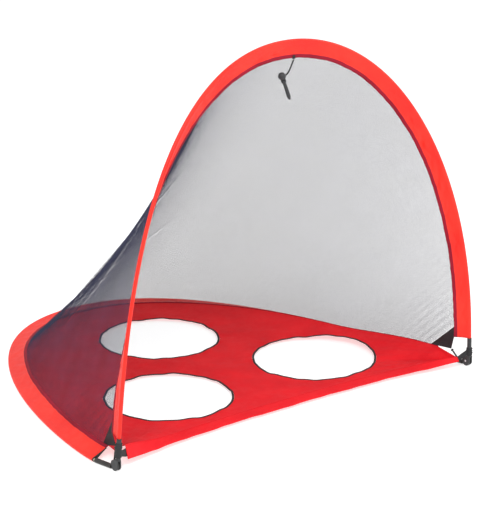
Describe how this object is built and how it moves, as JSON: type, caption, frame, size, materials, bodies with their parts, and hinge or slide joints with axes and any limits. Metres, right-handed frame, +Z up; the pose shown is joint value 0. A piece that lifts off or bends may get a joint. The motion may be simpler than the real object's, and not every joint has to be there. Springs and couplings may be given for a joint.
{
  "type": "pop up goal",
  "caption": "Pop-up lawn goal: two hinged rod arches in fabric sleeves, a net between them, a floor sheet with three round target holes, and a toggle on an elastic cord.",
  "frame": {"origin": "on the ground, in the middle of the goal's footprint", "axes": "+X to the right seen from the mouth, +Y from the mouth to the back, +Z up"},
  "size_m": [1.2146, 1.109, 0.9759],
  "materials": {
    "red_fabric": "satin",
    "maroon_tape": "matte",
    "black_fabric": "matte",
    "black_plastic": "satin",
    "net_mesh": "matte",
    "fibreglass": "satin",
    "steel": "satin"
  },
  "bodies": {
    "base": {"base_elbow_left": "black_plastic", "base_elbow_right": "black_plastic", "base_rod": "fibreglass", "base_seam_binding": "maroon_tape", "base_sleeve": "red_fabric", "corner_patch_left": "black_fabric", "corner_patch_right": "black_fabric", "floor_sheet": "red_fabric", "front_hem": "red_fabric", "hinge_rivet_left": "steel", "hinge_rivet_right": "steel", "hole_binding_back": "black_fabric", "hole_binding_left": "black_fabric", "hole_binding_right": "black_fabric", "net": "net_mesh", "sleeve_end_binding_left": "black_fabric", "sleeve_end_binding_right": "black_fabric", "tie_cord_left": "black_fabric", "tie_cord_right": "black_fabric", "tie_knot_left": "black_fabric", "tie_knot_right": "black_fabric"},
    "upright": {"upright_rod": "fibreglass", "upright_sleeve": "red_fabric", "upright_seam_binding": "maroon_tape", "upright_elbow_left": "black_plastic", "upright_elbow_right": "black_plastic", "toggle_tab": "black_fabric", "strap_loop_left": "black_fabric", "strap_loop_right": "black_fabric"},
    "toggle_cord": {"toggle_cord": "black_fabric"},
    "toggle": {"toggle_ball": "black_plastic", "toggle_collar": "black_plastic", "toggle_peg": "black_plastic"}
  },
  "joints": [
    {"name": "upright_fold", "type": "hinge", "parent": "base", "child": "upright", "pos_m": [0, -0.536, 0.014], "axis": [-1, 0, 0], "range_deg": [0, 82], "stiffness_Nm_per_rad": 1.7, "springref_deg": -17.19, "deforming": ["net", "corner_patch_left", "corner_patch_right", "tie_cord_left", "tie_cord_right", "tie_knot_left", "tie_knot_right", "strap_loop_left", "strap_loop_right", "base_seam_binding", "upright_seam_binding", "sleeve_end_binding_left", "sleeve_end_binding_right", "base_sleeve", "upright_sleeve"]},
    {"name": "toggle_swing", "type": "hinge", "parent": "upright", "child": "toggle_cord", "pos_m": [0.01984, -0.45361, 0.9226], "axis": [0, 1, 0], "range_deg": [-15, 30]},
    {"name": "toggle_tilt", "type": "hinge", "parent": "toggle_cord", "child": "toggle", "pos_m": [-0.01766, -0.45361, 0.8851], "axis": [0, 1, 0], "range_deg": [-20, 45]}
  ]
}
